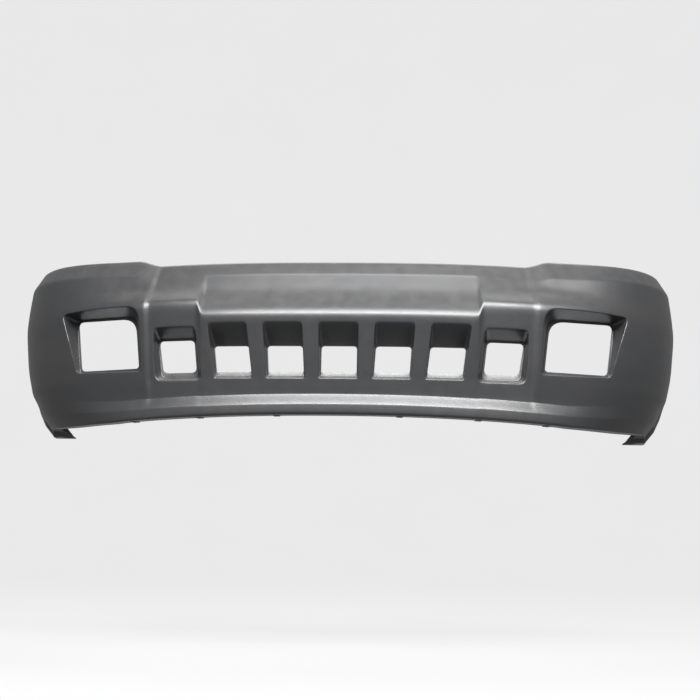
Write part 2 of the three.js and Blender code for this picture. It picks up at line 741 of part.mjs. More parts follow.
function addPiece(name, geometry, material, at = new THREE.Vector3(), turn = new THREE.Quaternion()) {
  const mesh = new THREE.Mesh(geometry, material);
  mesh.name = name;
  mesh.position.copy(at);
  mesh.quaternion.copy(turn);
  cover.add(mesh);
  return mesh;
}

addPiece("fascia_skin", geometryOf(fasciaSkin()), fasciaPlastic());
addPiece("upper_support_strip", geometryOf(supportStrip()), zincSteel());
const stripStack = WALL + GAP + STRIP.thickness;
stripRivetPlaces.forEach((at, i) => {
  addPiece(`strip_rivet_${i + 1}`, rivetGeometry(stripStack), zincSteel(), at);
});
clipPinPlaces.forEach((at, i) => {
  addPiece(`top_clip_${i + 1}`, clipPinGeometry(), bracketPlastic(), at);
});

lowerNutPlaces.forEach(({ at, turn }, i) => {
  addPiece(`lower_nut_${i + 1}`, geometryOf(clipNut()), springSteel(), at, turn);
});

for (const [name, side] of [["left", -1], ["right", 1]]) {
  archNutPlaces(side).forEach(({ at, turn }, i) => {
    addPiece(`arch_nut_${name}_${i + 1}`, geometryOf(clipNut()), springSteel(), at, turn);
  });
  addPiece(`foglamp_bracket_${name}`, geometryOf(fogBracket(side)), bracketPlastic());
  fogScrewPlaces(side).forEach(({ at, axis }, i) => {
    const turn = new THREE.Quaternion().setFromUnitVectors(UP, axis);
    addPiece(`foglamp_screw_${name}_${i + 1}`, screwGeometry(), zincSteel(), at, turn);
  });
  const { at, turn, length, rivets } = fenderPlace(side);
  const bracket = fenderBracket(length, side).subtract(
    union(rivets.map((y) => cylinder(RIVET.shank + HOLE_CLEARANCE, DRILL, fenderRivet(y, side), UP))),
  );
  addPiece(`fender_bracket_${name}`, geometryOf(bracket), bracketPlastic(), at, turn);
  rivets.forEach((y, i) => {
    const head = fenderRivet(y, side).applyQuaternion(turn).add(at);
    head.z += WALL + GAP;
    addPiece(`fender_rivet_${name}_${i + 1}`, rivetGeometry(fenderStack), zincSteel(), head, turn);
  });
}

export default cover;
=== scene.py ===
"""Looks of a bumper cover: a fine version of its moulding, its fastenings, materials, light and camera.

Lengths in the tables and in the formulas for the moulding are millimetres, and points are metres.
+X is to the right as seen from in front of the car, +Y to the rear and +Z up.
"""
import json
import math

import bmesh
import bpy
import numpy as np
from mathutils import Matrix, Vector
from mathutils.bvhtree import BVHTree
from mathutils.geometry import delaunay_2d_cdt


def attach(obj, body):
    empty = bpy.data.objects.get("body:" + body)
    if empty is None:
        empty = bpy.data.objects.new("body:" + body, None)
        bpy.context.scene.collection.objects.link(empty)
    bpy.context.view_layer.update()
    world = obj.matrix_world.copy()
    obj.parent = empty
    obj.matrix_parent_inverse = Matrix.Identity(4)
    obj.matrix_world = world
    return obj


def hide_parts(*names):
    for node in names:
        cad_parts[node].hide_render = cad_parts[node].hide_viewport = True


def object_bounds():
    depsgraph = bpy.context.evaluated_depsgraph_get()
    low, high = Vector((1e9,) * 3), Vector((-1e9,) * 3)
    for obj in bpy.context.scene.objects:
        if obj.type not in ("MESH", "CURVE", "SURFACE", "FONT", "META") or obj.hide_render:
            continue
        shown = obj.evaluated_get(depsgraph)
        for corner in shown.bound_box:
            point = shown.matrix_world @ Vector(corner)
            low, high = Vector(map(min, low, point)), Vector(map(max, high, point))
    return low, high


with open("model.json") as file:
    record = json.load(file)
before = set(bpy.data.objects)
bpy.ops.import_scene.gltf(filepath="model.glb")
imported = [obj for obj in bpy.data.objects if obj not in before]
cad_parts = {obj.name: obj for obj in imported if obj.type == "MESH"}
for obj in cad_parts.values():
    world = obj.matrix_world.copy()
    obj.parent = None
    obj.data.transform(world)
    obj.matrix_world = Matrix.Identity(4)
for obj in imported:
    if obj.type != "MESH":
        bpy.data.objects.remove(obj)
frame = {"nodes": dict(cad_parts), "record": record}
CAD_BOX = [list(corner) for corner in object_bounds()]

# ---------------------------------------------------------------- the moulding's dimensions

MM = 0.001
WALL = 3.2
HALF_WIDTH = 893
DEPTH = 470
ROUNDNESS = 2.5  # exponent of the superellipse that the crest follows in plan
ORIGIN_SETBACK = 90
PILASTER_INNER = 343
PILASTER_OUTER = 479
STEP_WIDTH = 16
SIDE_START = 520
SIDE_END = 800
WING_RISE = 16
WING_RISE_START = 474
WING_RISE_END = 540
WING_CLIMB = 20
BOTTOM = -385
BOTTOM_DROP = 17
BOTTOM_DROP_AT = 578
CORNER_LIFT = 12
FOOT_DROP = 17
FOOT_START = 382
FOOT_END = 404
TOP_FLANGE = {"front": 36, "side": 34}
BOTTOM_FLANGE = {"front": 26, "foot": 56}
ARCH = {"y": 870, "z": -350, "radius": 440, "flange": 54}
REAR_EDGE = DEPTH - 0.5

# The outer face in four places, as (recession behind the crest, height). Heights are measured from
# the top edge in rim, from the origin in face and from the bottom edge in sill.
SECTIONS = {
    "centre": {
        "rim": [(70, 0), (54, -33), (52, -39)],
        "face": [(35, -84), (23, -107), (14, -122), (7, -136), (3.5, -151), (25, -235), (40, -299)],
        "sill": [(47, 50), (37, 25), (38, 5), (42, 0)],
    },
    "pilaster": {
        "rim": [(70, 0), (54, -33), (51, -39)],
        "face": [(38, -66), (28, -83), (18.5, -97), (10.5, -109), (7.8, -124), (27, -235), (41, -302)],
        "sill": [(47, 51), (37, 26), (38, 5), (42, 0)],
    },
    "wing": {
        "rim": [(66, 0), (44, -43), (41, -49)],
        "face": [(30, -70), (16, -92), (8, -106), (4, -119), (4, -132), (22, -235), (36, -303)],
        "sill": [(46, 52), (37, 26), (38, 5), (42, 0)],
    },
    "side": {
        "rim": [(34, 0), (10, -43), (8, -49)],
        "face": [(4, -60), (2, -85), (1, -103), (0, -121), (1, -145), (12, -240), (27, -300)],
        "sill": [(42, 64), (58, 31), (79, 6), (83, 0)],
    },
}

# How each corner of the section is rounded: (length of the rounding, its steps, steps to the next
# corner). The first and last two belong to the flanges' free edges.
EDGE_ROUNDING = 0.8
ROUNDING = [
    (0, 0, 1),
    (EDGE_ROUNDING, 2, 3),
    (5, 4, 4),
    (3, 3, 1),
    (3, 3, 4),
    (14, 5, 3),
    (20, 4, 1),
    (20, 4, 1),
    (20, 4, 1),
    (20, 4, 6),
    (28, 5, 4),
    (8, 4, 3),
    (2.0, 3, 3),
    (2.5, 3, 2),
    (2, 2, 1),
    (1.5, 2, 3),
    (EDGE_ROUNDING, 2, 1),
    (0, 0, 0),
]
FACE_FIRST = 2  # the corner that the top flange turns down at
FACE_LAST = 15  # the corner that the bottom flange turns back at
PATCH_FIRST = 5  # corners between which the openings lie
PATCH_LAST = 11
PATCH_HALF_WIDTH = 765

COLUMN_STEP = 9
STEP_COLUMN = 2
SIDE_COLUMN = 11

# Openings of the right half, as (x, height) corners: bottom inner, bottom outer, top outer, top
# inner. The walls run from the mouth to the back wall, which has a smaller hole.
SLOT = {
    "pitch": 131,
    "lean": 0.13,
    "mouth": {"width": 94, "low": -302, "high": -179},
    "back": {"width": 90, "low": -289, "high": -212},
    "hole": {"width": 86, "low": -279, "high": -214},
    "radii": (5, 5, 9, 9),
    "mouth_depth": 24,
    "depth": 66,
    "rim": 0,
}
PILASTER_POCKET = {
    "mouth": [(326, -308), (457, -308), (457, -176), (353, -176)],
    "back": [(345, -292), (441, -292), (455, -194), (357, -194)],
    "hole": [(351, -279), (437, -279), (451, -198), (361, -198)],
    "radii": (14, 16, 12, 12),
    "centre_x": 400,
    "mouth_depth": 24,
    "depth": 66,
    "rim": 0,
}
FOG_POCKET = {
    "mouth": [(482, -282), (666, -276), (713, -123), (500, -120)],
    "back": [(496, -273), (669, -271), (688, -129), (513, -133)],
    "hole": [(501, -266), (664, -264), (683, -134), (518, -138)],
    "radii": (10, 12, 16, 38),
    "centre_x": 600,
    "mouth_depth": 18,
    "depth": 64,
    "rim": 18,
}
CORNER_STEPS = 8
EDGE_STEPS = 14
MOUTH_ROUNDING = 2.6
HOLE_ROUNDING = 0.7
BACK_ROUNDING = 1.4
FIRST_GUESS = 10.0  # depth from which the walls' meeting with the face is searched for
GUESS_STEP = 0.7  # share of the remaining distance that each round of the search moves by
CLEAR_OF_MOUTH = 3  # how far the face's own points keep from an opening's edge

# ---------------------------------------------------------------- small helpers


def smoothstep(value, low, high):
    share = np.clip((value - low) / (high - low), 0, 1)
    return share * share * (3 - 2 * share)


def spaced(start, end, step):
    return np.linspace(start, end, math.ceil((end - start) / step) + 1)


def bezier(start, corner, end, steps):
    """Points of a rounded corner, one array for each step, both ends included."""
    shares = np.linspace(0, 1, steps + 1)
    return [(1 - t) ** 2 * start + 2 * t * (1 - t) * corner + t * t * end for t in shares]


def moved_along(start, towards, length):
    """Points moved from start towards other points, by no more than nearly half the way."""
    run = towards - start
    far = np.linalg.norm(run, axis=-1, keepdims=True)
    reach = np.minimum(np.asarray(length, float)[..., None], far * 0.48)
    return start + run / far * reach


# ---------------------------------------------------------------- the face's shape


def plan_points(x, y):
    """Rows of x, depth behind the crest's foremost point, and the outward direction there."""
    across = np.sign(x) * (np.abs(x) / HALF_WIDTH) ** (ROUNDNESS - 1) / HALF_WIDTH
    forward = -np.clip(1 - y / DEPTH, 0, 1) ** (ROUNDNESS - 1) / DEPTH
    length = np.hypot(across, forward)
    return np.stack([x, y, across / length, forward / length], axis=-1)


def plan_at_x(x):
    x = np.asarray(x, float)
    fore = (1 - (np.abs(x) / HALF_WIDTH) ** ROUNDNESS) ** (1 / ROUNDNESS)
    return plan_points(x, DEPTH * (1 - fore))


def plan_at_depth(y, side):
    y = np.asarray(y, float)
    across = (1 - np.clip(1 - y / DEPTH, 0, 1) ** ROUNDNESS) ** (1 / ROUNDNESS)
    return plan_points(side * HALF_WIDTH * across, y)


def place(plan, section):
    """Points in space, in metres, from rows of plan and (recession, height)."""
    return MM * np.stack([
        plan[..., 0] - plan[..., 2] * section[..., 0],
        plan[..., 1] - plan[..., 3] * section[..., 0] - ORIGIN_SETBACK,
        section[..., 1],
    ], axis=-1)


def top_height(plan):
    step = smoothstep(np.abs(plan[:, 0]), WING_RISE_START, WING_RISE_END)
    start = plan_at_x(WING_RISE_END)[1]
    climb = np.maximum(0, plan[:, 1] - start) / (DEPTH - start)
    return WING_RISE * step + WING_CLIMB * climb


def bottom_height(plan):
    across = np.minimum(np.abs(plan[:, 0]), BOTTOM_DROP_AT) / BOTTOM_DROP_AT
    start = plan_at_x(BOTTOM_DROP_AT)[1]
    lift = CORNER_LIFT * smoothstep(plan[:, 1], start, FOOT_START)
    foot = FOOT_DROP * smoothstep(plan[:, 1], FOOT_START, FOOT_END)
    return BOTTOM - BOTTOM_DROP * across ** 2 + lift - foot


def section_corners(plan):
    """Corners of the section at each place in plan, from the top flange's free edge, over the face,
    to the bottom flange's free edge."""
    across = np.abs(plan[:, 0])
    half = STEP_WIDTH / 2
    shares = {
        "pilaster": smoothstep(across, PILASTER_INNER - half, PILASTER_INNER + half),
        "wing": smoothstep(across, PILASTER_OUTER - half, PILASTER_OUTER + half),
        "side": smoothstep(across, SIDE_START, SIDE_END),
    }

    def blended(part, raised):
        knots = np.array(SECTIONS["centre"][part], float)[None]
        for name, share in shares.items():
            knots = knots + (np.array(SECTIONS[name][part], float) - knots) * share[:, None, None]
        return knots + np.stack([np.zeros_like(raised), raised], axis=-1)[:, None]

    rim = blended("rim", top_height(plan))
    face = blended("face", np.zeros(len(plan)))
    sill = blended("sill", bottom_height(plan))
    top_width = TOP_FLANGE["front"] + (TOP_FLANGE["side"] - TOP_FLANGE["front"]) * shares["side"]
    foot = smoothstep(plan[:, 1], FOOT_START, FOOT_END)
    bottom_width = BOTTOM_FLANGE["front"] + (BOTTOM_FLANGE["foot"] - BOTTOM_FLANGE["front"]) * foot
    top_end = rim[:, :1] + np.stack([top_width, 0 * top_width], axis=-1)[:, None]
    bottom_end = sill[:, -1:] + np.stack([bottom_width, 0 * foot], axis=-1)[:, None]
    return np.concatenate([top_end, rim, face, sill, bottom_end], axis=1)


def offset_corners(corners, distance):
    """The section's corners moved to its inner side, with mitres, and how much shorter each
    corner's rounding becomes."""
    run = np.diff(corners, axis=1)
    run /= np.linalg.norm(run, axis=-1, keepdims=True)
    normal = np.stack([-run[..., 1], run[..., 0]], axis=-1)
    before = np.concatenate([normal[:, :1], normal], axis=1)
    after = np.concatenate([normal, normal[:, -1:]], axis=1)
    cosine = (before * after).sum(-1)
    moved = corners + (before + after) * (distance / (1 + cosine))[..., None]
    turn = np.arctan2(before[..., 0] * after[..., 1] - before[..., 1] * after[..., 0], cosine)
    return moved, distance * np.tan(turn / 2)


def with_free_edges(corners, distance):
    """Adds the middle of the wall's free edge before the first corner and after the last."""
    first = corners[:, :1] - [[[0, distance / 2]]]
    last = corners[:, -1:] + [[[0, distance / 2]]]
    return np.concatenate([first, corners, last], axis=1)


def rounded_rows(corners, lengths):
    """Points of the section with its corners rounded, the same number at each place in plan."""
    rows = []
    previous = None
    for i, (_, steps, _) in enumerate(ROUNDING):
        here = corners[:, i]
        if steps:
            start = moved_along(here, corners[:, i - 1], lengths[:, i])
            end = moved_along(here, corners[:, i + 1], lengths[:, i])
            points = bezier(start, here, end, steps)
        else:
            points = [here]
        if previous is not None:
            spans = ROUNDING[i - 1][2]
            rows += [previous + (points[0] - previous) * k / spans for k in range(1, spans)]
        rows += points
        previous = points[-1]
    return np.stack(rows, axis=1)


def row_after(corner):
    """Number of the last row of a corner's rounding."""
    counted = [steps + 1 for _, steps, _ in ROUNDING[:corner + 1]]
    spans = [spans - 1 for _, _, spans in ROUNDING[:corner]]
    return sum(counted) + sum(spans) - 1


def row_before(corner):
    return row_after(corner) - ROUNDING[corner][1]


def outer_rows(plan):
    corners = with_free_edges(section_corners(plan), WALL)
    lengths = np.tile([length for length, _, _ in ROUNDING], (len(plan), 1))
    return rounded_rows(corners, lengths)


def inner_rows(plan):
    moved, shorter = offset_corners(section_corners(plan), WALL)
    corners = with_free_edges(moved, -WALL)
    lengths = np.tile([length for length, _, _ in ROUNDING], (len(plan), 1)).astype(float)
    lengths[:, 2:-2] = np.maximum(EDGE_ROUNDING, lengths[:, 2:-2] - shorter[:, 1:-1])
    return rounded_rows(corners, lengths)


# ---------------------------------------------------------------- the grid of points

FIRST_FACE_ROW = row_before(FACE_FIRST)
LAST_FACE_ROW = row_after(FACE_LAST)
REAR_ROUNDING = 1.6


def arch_depth(height):
    """Depth of the wheel arch's edge at a height."""
    reach = ARCH["radius"] ** 2 - (height - ARCH["z"]) ** 2
    return np.minimum(REAR_EDGE, ARCH["y"] - np.sqrt(np.maximum(0, reach)))


def front_columns():
    half = STEP_WIDTH / 2
    stops = [0, PILASTER_INNER - half, PILASTER_INNER + half]
    stops += [PILASTER_OUTER - half, PILASTER_OUTER + half, PATCH_HALF_WIDTH]
    steps = [COLUMN_STEP, STEP_COLUMN, COLUMN_STEP, STEP_COLUMN, COLUMN_STEP]
    pieces = [spaced(a, b, step)[:-1] for a, b, step in zip(stops, stops[1:], steps)]
    right = np.concatenate([*pieces, [PATCH_HALF_WIDTH]])
    return np.concatenate([-right[:0:-1], right])


def rear_depths(rows, side, ahead):
    """Depth at which each row ends, so that the rows end on the wheel arch's curve."""
    count = rows(plan_at_x([0])).shape[1]
    own = np.arange(count)
    depth = np.full(count, float(DEPTH))
    for _ in range(4):
        height = rows(plan_at_depth(depth, side))[own, own, 1]
        depth = arch_depth(height) - ahead
    return depth


def side_columns(rows, side, ahead):
    """Columns round one side, each row with its own depths."""
    start = plan_at_x(PATCH_HALF_WIDTH)[1]
    end = rear_depths(rows, side, ahead)
    own = np.arange(len(end))
    columns = []
    for share in spaced(0, 1, SIDE_COLUMN / (DEPTH - start))[1:]:
        plan = plan_at_depth(start + share * (end - start), side)
        columns.append(place(plan, rows(plan)[own, own]))
    return columns


def skin_grid(rows, ahead):
    """Points by column, from the left rear edge round the front to the right, and by row."""
    plan = plan_at_x(front_columns())
    front = place(plan[:, None], rows(plan))
    left = side_columns(rows, -1, ahead)[::-1]
    right = side_columns(rows, 1, ahead)
    return np.concatenate([left, front, right]), len(left), len(left) + len(front) - 1


# ---------------------------------------------------------------- mesh making


class MeshPool:
    """Points and faces gathered for one mesh. Points that coincide are joined at the end."""

    def __init__(self):
        self.points = []
        self.faces = []

    def add(self, points):
        first = len(self.points)
        self.points += [tuple(point) for point in np.asarray(points).reshape(-1, 3)]
        return first

    def grid(self, points, closed=False, keep=None):
        """Quads over an array of points by line and place along it."""
        lines, places = points.shape[:2]
        first = self.add(points)
        for i in range(lines - 1):
            for j in range(places if closed else places - 1):
                if keep is None or keep(i, j):
                    a = first + i * places + j
                    b = first + i * places + (j + 1) % places
                    self.faces.append((a, a + places, b + places, b))

    def polygon(self, points):
        first = self.add(points)
        self.faces.append(tuple(range(first, first + len(points))))

    def triangles(self, points, corners):
        first = self.add(points)
        self.faces += [tuple(first + c for c in triangle) for triangle in corners]

    def build(self, name):
        mesh = bpy.data.meshes.new(name)
        mesh.from_pydata(self.points, [], self.faces)
        work = bmesh.new()
        work.from_mesh(mesh)
        bmesh.ops.remove_doubles(work, verts=work.verts, dist=2e-6)
        bmesh.ops.dissolve_degenerate(work, edges=work.edges, dist=1e-6)
        bmesh.ops.recalc_face_normals(work, faces=work.faces)
        work.to_mesh(mesh)
        work.free()
        piece = bpy.data.objects.new(name, mesh)
        bpy.context.scene.collection.objects.link(piece)
        return piece


def shade_by_angle(piece, degrees):
    """Smooth shading with sharp edges where the faces turn by more than an angle."""
    for face in piece.data.polygons:
        face.use_smooth = True
    work = bmesh.new()
    work.from_mesh(piece.data)
    for edge in work.edges:
        if len(edge.link_faces) == 2:
            edge.smooth = edge.calc_face_angle(0) < math.radians(degrees)
    work.to_mesh(piece.data)
    work.free()


def inside_polygon(points, polygon):
    """Which of the points, rows of two numbers, lie inside a polygon."""
    found = np.zeros(len(points), bool)
    x, z = points[:, 0], points[:, 1]
    for (x0, z0), (x1, z1) in zip(polygon, np.roll(polygon, -1, axis=0)):
        crosses = (z0 > z) != (z1 > z)
        if z0 != z1:
            found ^= crosses & (x < x0 + (z - z0) * (x1 - x0) / (z1 - z0))
    return found


# ---------------------------------------------------------------- openings


def grown(corners, distance):
    """A convex outline's corners moved outwards."""
    corners = np.asarray(corners, float)
    run = np.roll(corners, -1, axis=0) - corners
    run /= np.linalg.norm(run, axis=1, keepdims=True)
    out = np.stack([run[:, 1], -run[:, 0]], axis=1)
    before = np.roll(out, 1, axis=0)
    scale = distance / (1 + (before * out).sum(1))
    return corners + (before + out) * scale[:, None]


def outline_points(corners, radii):
    """Points of an outline with rounded corners and divided sides."""
    corners = np.asarray(corners, float)
    rounds = []
    for i, corner in enumerate(corners):
        start, end = (moved_along(corner, corners[(i + step) % 4], radii[i]) for step in (-1, 1))
        rounds.append(bezier(start, corner, end, CORNER_STEPS))
    points = []
    for i, arc in enumerate(rounds):
        following = rounds[(i + 1) % 4][0]
        points += arc[:-1]
        points += [arc[-1] + (following - arc[-1]) * k / EDGE_STEPS for k in range(EDGE_STEPS)]
    return np.array(points)


def outward(points):
    """Outward directions of a closed outline that runs anticlockwise in x and height."""
    run = np.roll(points, -1, axis=0) - np.roll(points, 1, axis=0)
    run /= np.linalg.norm(run, axis=1, keepdims=True)
    return np.stack([run[:, 1], -run[:, 0]], axis=1)


class Pocket:
    """An opening cut straight back into the face, with a smaller hole in its back wall."""

    def __init__(self, spec):
        self.spec = spec
        self.back = np.array(spec["back"], float)
        plan = plan_at_x(spec["centre_x"])
        self.start = plan[1] - ORIGIN_SETBACK
        self.slope = -plan[2] / plan[3]

    def plane(self, x, depth):
        return self.start + self.slope * (x - self.spec["centre_x"]) + depth

    def wall(self, depth, extra=0):
        """Outline of the walls at one depth."""
        spec = self.spec
        share = (depth - spec["mouth_depth"]) / (spec["depth"] - spec["mouth_depth"])
        mouth = np.asarray(spec["mouth"], float)
        corners = grown(mouth + (self.back - mouth) * share, extra)
        return outline_points(corners, [radius + extra for radius in spec["radii"]])

    def wall_ring(self, depths, extra=0):
        """Points of the walls, each at its own depth, as x, y and height."""
        near = self.wall(self.spec["mouth_depth"], extra)
        far = self.wall(self.spec["depth"], extra)
        share = (depths - self.spec["mouth_depth"]) / (self.spec["depth"] - self.spec["mouth_depth"])
        flat = near + (far - near) * share[:, None]
        return np.stack([flat[:, 0], self.plane(flat[:, 0], depths), flat[:, 1]], axis=1)

    def flat_ring(self, corners, radii, depth):
        flat = outline_points(corners, radii)
        return np.stack([flat[:, 0], self.plane(flat[:, 0], depth), flat[:, 1]], axis=1)

    def depths_on(self, surface, extra=0):
        """Depth at which each line of the walls meets a surface."""
        depths = np.full(4 * (CORNER_STEPS + EDGE_STEPS), FIRST_GUESS)
        for _ in range(14):
            ring = self.wall_ring(depths, extra)
            met = surface_y(surface, ring[:, [0, 2]])
            depths = depths + GUESS_STEP * (met - ring[:, 1])
        return depths

    def front_rings(self, surface):
        """Rings from the face, over the rounded edge of the mouth and down the walls to the back
        wall and through its hole, to the back wall's rear face."""
        spec = self.spec
        radii = np.array(spec["radii"], float)
        depths = self.depths_on(surface)
        corner = self.wall_ring(depths)
        flat = corner[:, [0, 2]] + outward(corner[:, [0, 2]]) * MOUTH_ROUNDING
        start = np.stack([flat[:, 0], surface_y(surface, flat), flat[:, 1]], axis=1)
        inner = self.wall_ring(depths + MOUTH_ROUNDING)
        rings = bezier(start, corner, inner, 4)
        fillet = BACK_ROUNDING
        last = np.full(len(depths), float(spec["depth"] - fillet))
        first = depths + MOUTH_ROUNDING
        rings += [self.wall_ring(first + (last - first) * k / 6) for k in range(1, 6)]
        foot = self.flat_ring(self.back, radii, spec["depth"])
        shelf = self.flat_ring(grown(self.back, -fillet), radii, spec["depth"])
        rings += bezier(self.wall_ring(last), foot, shelf, 3)
        edge = HOLE_ROUNDING
        hole = spec["hole"]
        rim = self.flat_ring(grown(hole, edge * 0.8), radii, spec["depth"])
        rings += bezier(
            rim,
            self.flat_ring(hole, radii, spec["depth"]),
            self.flat_ring(hole, radii, spec["depth"] + edge),
            2,
        )
        rings += bezier(
            self.flat_ring(hole, radii, spec["depth"] + WALL - edge),
            self.flat_ring(hole, radii, spec["depth"] + WALL),
            self.flat_ring(grown(hole, edge * 0.8), radii, spec["depth"] + WALL),
            2,
        )
        return rings

    def rear_rings(self, surface):
        """Rings from the back wall's rear face, over its edge and forwards along the outside of
        the walls to the inner side of the face."""
        spec = self.spec
        radii = np.array(spec["radii"], float)
        back = spec["depth"] + WALL
        edge = EDGE_ROUNDING
        rings = []
        if spec["rim"]:
            plate = grown(self.back, spec["rim"])
            wide = radii + spec["rim"]
            middle = spec["depth"] + WALL / 2
            for corner_depth, end_depth in ((back, middle), (spec["depth"], None)):
                corner = self.flat_ring(plate, wide, corner_depth)
                flush = self.flat_ring(grown(plate, -edge), wide - edge, corner_depth)
                side = self.flat_ring(plate, wide, middle)
                along = side + (corner - side) * (1 - edge / (WALL / 2))
                steps = bezier(flush, corner, along, 2)
                rings += steps if end_depth else steps[::-1]
            root = self.wall_ring(np.full(len(corner), float(spec["depth"])), WALL)
            rings.append(root)
        else:
            depth_before = np.full(len(self.wall(0)), float(back - edge))
            corner = self.wall_ring(np.full(len(depth_before), float(back)), WALL)
            centre = corner.mean(axis=0)
            flush = corner + (centre - corner) * edge / np.linalg.norm(centre - corner, axis=1).max()
            rings += bezier(flush, corner, self.wall_ring(depth_before, WALL), 2)
        depths = self.depths_on(surface, WALL)
        last = spec["depth"] if spec["rim"] else back - edge
        rings += [self.wall_ring(last + (depths - last) * k / 4, WALL) for k in range(1, 5)]
        return rings


def surface_y(surface, flat):
    """y of a surface straight behind points given as x and height, in millimetres."""
    found = []
    for x, z in flat:
        hit = surface.ray_cast(Vector((x * MM, -1, z * MM)), Vector((0, 1, 0)))[0]
        found.append(hit.y / MM if hit else np.nan)
    found = np.array(found)
    if np.isnan(found).any():
        raise ValueError("an opening runs past the edge of the face")
    return found


def slot_spec(number):
    """Slot 0 is on the centre line. Its neighbours' sides lean outwards."""
    centre = number * SLOT["pitch"]
    lean = SLOT["lean"] * number / 2
    middle = (SLOT["mouth"]["low"] + SLOT["mouth"]["high"]) / 2

    def corners(size):
        half = size["width"] / 2
        ends = [(-1, "low"), (1, "low"), (1, "high"), (-1, "high")]
        return [(centre + side * half + lean * (size[end] - middle), size[end]) for side, end in ends]

    outlines = {name: corners(SLOT[name]) for name in ("mouth", "back", "hole")}
    return {**SLOT, **outlines, "centre_x": centre}


def mirrored(spec):
    def swap(values):
        return [values[i] for i in (1, 0, 3, 2)]

    def flip(corners):
        return [(-x, z) for x, z in swap(corners)]

    return {
        **spec,
        "centre_x": -spec["centre_x"],
        "mouth": flip(spec["mouth"]),
        "back": flip(spec["back"]),
        "hole": flip(spec["hole"]),
        "radii": swap(spec["radii"]),
    }


def all_pockets():
    sides = [PILASTER_POCKET, FOG_POCKET]
    specs = [slot_spec(number) for number in range(-2, 3)] + sides + [mirrored(spec) for spec in sides]
    return [Pocket(spec) for spec in specs]


# ---------------------------------------------------------------- the moulding


def surface_of(points):
    columns, rows = points.shape[:2]
    quads = [
        (i * rows + j, (i + 1) * rows + j, (i + 1) * rows + j + 1, i * rows + j + 1)
        for i in range(columns - 1)
        for j in range(rows - 1)
    ]
    return BVHTree.FromPolygons(points.reshape(-1, 3).tolist(), quads)


def perforated_patch(pool, points, loops):
    """The part of the face that the openings are in, as triangles that leave the loops open."""
    flat_loops = [loop[:, [0, 2]] for loop in loops]
    columns, rows = points.shape[:2]
    border = np.concatenate([points[:, 0], points[-1, 1:], points[-2::-1, -1], points[0, -2:0:-1]])
    free = points[1:-1, 1:-1].reshape(-1, 3)
    taken = np.zeros(len(free), bool)
    for loop in flat_loops:
        wide = loop + outward(loop) * CLEAR_OF_MOUTH * MM
        taken |= inside_polygon(free[:, [0, 2]], wide)
    rings = [border, *loops]
    corners = np.concatenate([*rings, free[~taken]])
    edges = []
    first = 0
    for ring in rings:
        edges += [(first + i, first + (i + 1) % len(ring)) for i in range(len(ring))]
        first += len(ring)
    flat = [Vector((x, z)) for x, z in corners[:, [0, 2]]]
    _, _, faces, origins, _, _ = delaunay_2d_cdt(flat, edges, [], 0, 1e-9)
    source = np.array([ids[0] for ids in origins])
    faces = source[np.array(faces)]
    middle = corners[faces][:, :, [0, 2]].mean(axis=1)
    wanted = inside_polygon(middle, border[:, [0, 2]])
    for loop in flat_loops:
        wanted &= ~inside_polygon(middle, loop)
    pool.triangles(corners, faces[wanted].tolist())


def skin_side(pool, points, first, last, loops):
    """One side of the wall: a grid of quads round the perforated patch."""
    top = row_after(PATCH_FIRST)
    bottom = row_after(PATCH_LAST) + 1

    def outside_patch(i, j):
        return not (first <= i < last and top <= j < bottom)

    pool.grid(points, keep=outside_patch)
    perforated_patch(pool, points[first:last + 1, top:bottom + 1], loops)


def arch_flange(pool, outer, inner, side):
    """The flange that turns inwards from the wheel arch's edge. outer and inner are the wall's
    last columns."""
    rows = slice(FIRST_FACE_ROW, LAST_FACE_ROW + 1)
    edge = outer[rows]
    rear = np.array([0, REAR_ROUNDING * MM, 0])
    corner = edge + rear
    inwards = np.array([-side * MM, 0, 0])
    reach = ARCH["flange"]
    thick = np.array([0, -WALL * MM, 0])
    lines = bezier(edge, corner, corner + inwards * REAR_ROUNDING, 3)
    lines += [corner + inwards * reach * k / 3 for k in (1, 2)]
    tip = corner + inwards * reach
    step = EDGE_ROUNDING / WALL
    lines += bezier(tip - inwards * EDGE_ROUNDING, tip, tip + thick * step, 2)
    lines += bezier(tip + thick * (1 - step), tip + thick, tip + thick - inwards * EDGE_ROUNDING, 2)
    lines += [corner + thick + inwards * reach * k / 3 for k in (2, 1)]
    lines.append(inner[rows])
    lines = np.array(lines)
    pool.grid(lines)
    for end in (0, -1):
        pool.polygon(lines[:, end])
    for part in (slice(0, FIRST_FACE_ROW + 1), slice(LAST_FACE_ROW, None)):
        pool.grid(np.array([outer[part], inner[part]]))


def fascia_skin():
    outer, first, last = skin_grid(outer_rows, 0)
    inner, _, _ = skin_grid(inner_rows, WALL)
    outer = trimmed_for_flange(outer)
    pool = MeshPool()
    face = surface_of(outer[first:last + 1])
    inside = surface_of(inner[first:last + 1])
    outer_loops = []
    inner_loops = []
    for pocket in all_pockets():
        rings = pocket.front_rings(face) + pocket.rear_rings(inside)
        rings = [ring * MM for ring in rings]
        outer_loops.append(rings[0])
        inner_loops.append(rings[-1])
        pool.grid(np.array(rings), closed=True)
    skin_side(pool, outer, first, last, outer_loops)
    skin_side(pool, inner, first, last, inner_loops)
    arch_flange(pool, outer[-1], inner[-1], 1)
    arch_flange(pool, outer[0], inner[0], -1)
    skin = pool.build("fascia_moulding")
    shade_by_angle(skin, 34)
    return skin


def trimmed_for_flange(outer):
    """The outer side's last columns moved forwards: on the face by the rear edge's rounding, and
    on the flanges by the wall of the arch's flange, which covers them."""
    outer = outer.copy()
    rows = np.arange(outer.shape[1])
    on_face = (rows >= FIRST_FACE_ROW) & (rows <= LAST_FACE_ROW)
    outer[[0, -1], :, 1] -= np.where(on_face, REAR_ROUNDING, WALL) * MM
    return outer


# ---------------------------------------------------------------- materials


